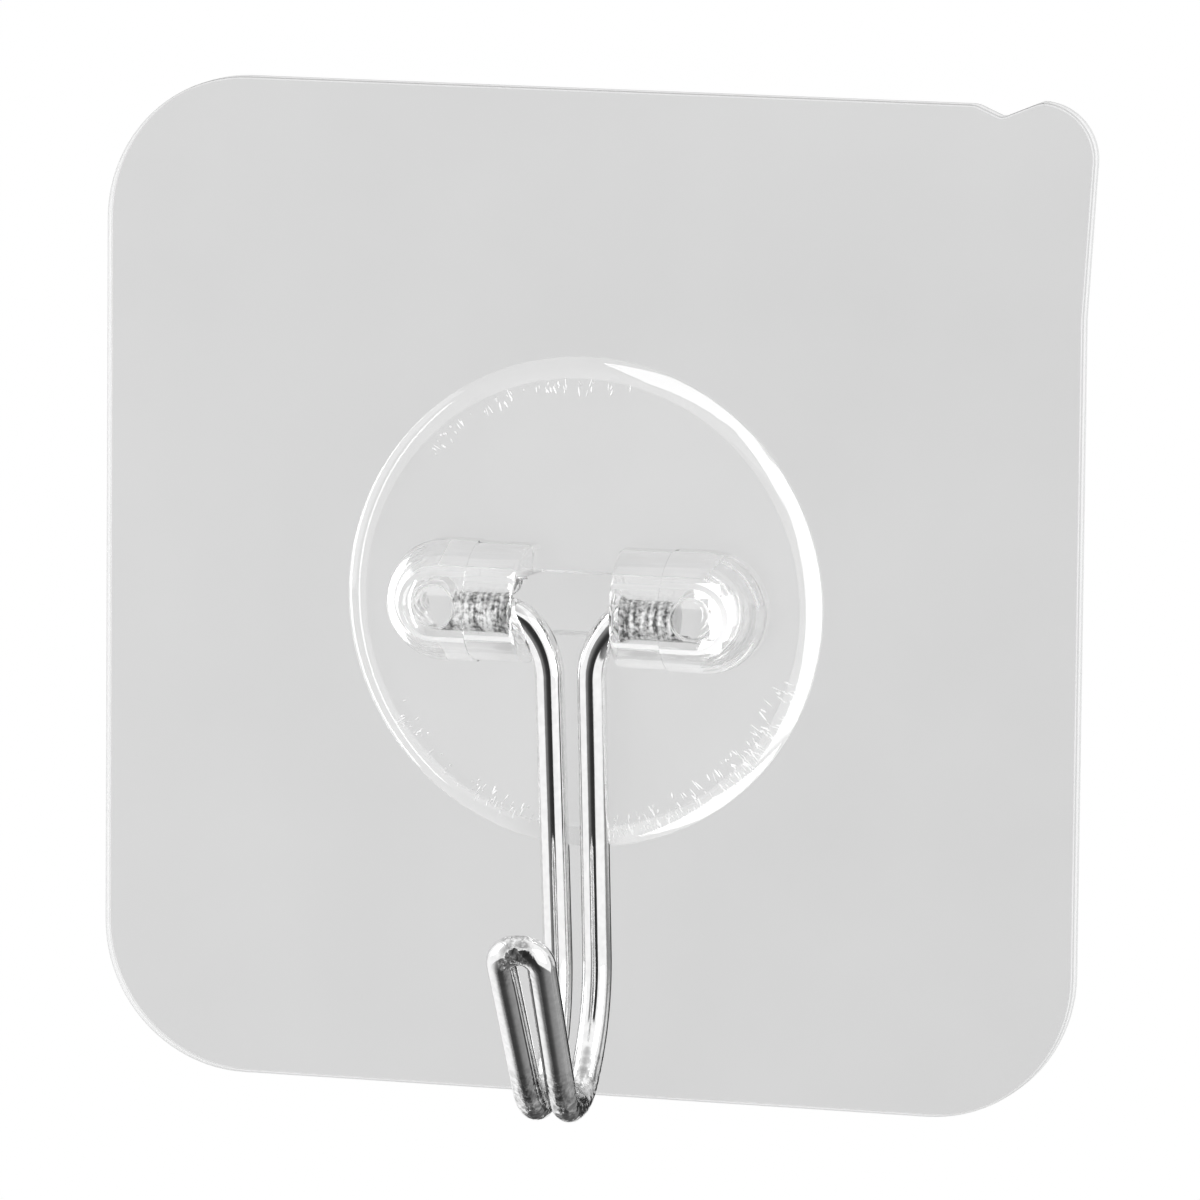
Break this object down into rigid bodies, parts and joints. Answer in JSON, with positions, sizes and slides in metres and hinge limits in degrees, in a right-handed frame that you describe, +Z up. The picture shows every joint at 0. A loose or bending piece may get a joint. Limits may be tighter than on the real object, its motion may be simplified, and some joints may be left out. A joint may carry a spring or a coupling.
{
  "type": "adhesive wall hook",
  "caption": "Clear square stick-on sheet with a peel ear, a clear round moulded base glued on its front, and a bent chromed wire hook that swings in the base's bosses.",
  "frame": {"origin": "centre of the sheet's sticky back face, on the wall", "axes": "+Z up the wall, +Y into the wall, the hook's front faces -Y, +X to the right seen from the front"},
  "size_m": [0.0605, 0.015, 0.0609],
  "materials": {
    "clear_gel": "clear tacky gel, smooth",
    "clear_sheet": "clear soft plastic sheet, glossy, with bright cut edges",
    "clear_glue": "clear dried glue with an uneven edge",
    "clear_moulding": "clear injection-moulded plastic, polished",
    "chromed_wire": "bright plated wire with fine drawing lines"
  },
  "bodies": {
    "plate": {"adhesive_layer": "clear_gel", "base_sheet": "clear_sheet", "glue_film": "clear_glue", "hook_base": "clear_moulding"},
    "hook": {"wire_hook": "chromed_wire"}
  },
  "joints": [
    {"name": "hook_swing", "type": "hinge", "parent": "plate", "child": "hook", "pos_m": [0, -0.0045, -0.00065], "axis": [-1, 0, 0], "range_deg": [0, 158]}
  ]
}
